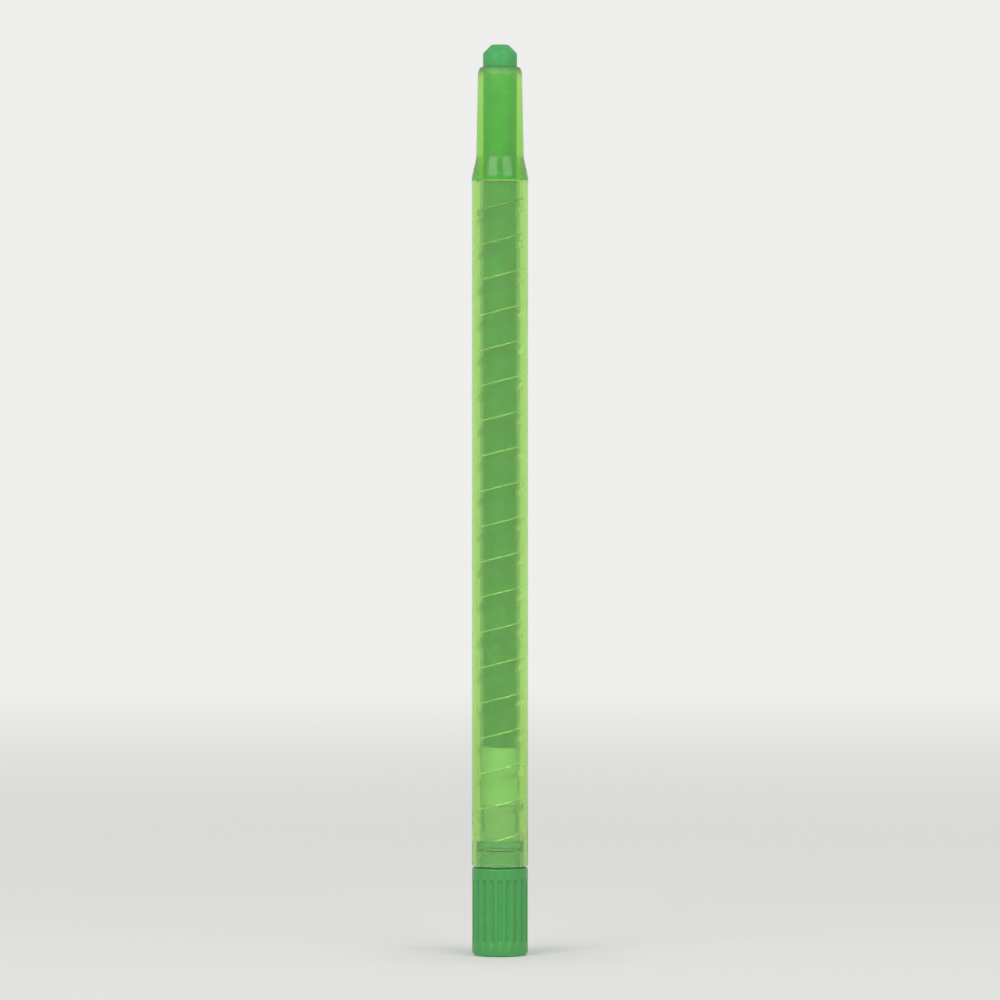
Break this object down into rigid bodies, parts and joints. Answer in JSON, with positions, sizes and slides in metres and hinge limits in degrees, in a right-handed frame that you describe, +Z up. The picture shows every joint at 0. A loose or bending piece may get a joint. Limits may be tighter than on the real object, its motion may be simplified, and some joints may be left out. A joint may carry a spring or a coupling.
{
  "type": "twist crayon",
  "caption": "Slim wind-out wax crayon: a clear tinted barrel with a tapered nose, and a fluted knob at its foot that turns a slotted tube in a spiral sleeve to raise and lower the wax.",
  "frame": {"origin": "on the crayon's axis, at the flat foot of the twist knob", "axes": "+Z up the axis from the knob to the wax tip; +X through the lower of the carrier's two pins, with the wax showing as in the picture"},
  "size_m": [0.009, 0.009, 0.145],
  "materials": {
    "barrel_plastic": "clear moulded plastic, tinted lime green, polished",
    "sleeve_plastic": "clear natural plastic, moulded",
    "mechanism_plastic": "clear plastic, lightly tinted green, moulded",
    "knob_plastic": "dyed green plastic, satin, with moulded flutes",
    "carrier_plastic": "natural white plastic, matt",
    "wax": "cast coloured wax, satin to dull"
  },
  "bodies": {
    "barrel": {"barrel": "barrel_plastic", "spiral_sleeve": "sleeve_plastic", "tail_collar": "mechanism_plastic"},
    "drive": {"fork_tube": "mechanism_plastic", "twist_knob": "knob_plastic"},
    "slider": {"carrier": "carrier_plastic", "wax_stick": "wax"}
  },
  "joints": [
    {"name": "knob_twist", "type": "hinge", "parent": "barrel", "child": "drive", "pos_m": [0, 0, 0], "axis": [0, 0, 1], "range_deg": [-321.5, 5956.2]},
    {"name": "wax_feed", "type": "slide", "parent": "drive", "child": "slider", "axis": [0, 0, 1], "range_m": [-0.005, 0.09265]}
  ],
  "couplings": [
    {"joint": "knob_twist", "follows": "wax_feed", "rad_per_m": 1122}
  ]
}
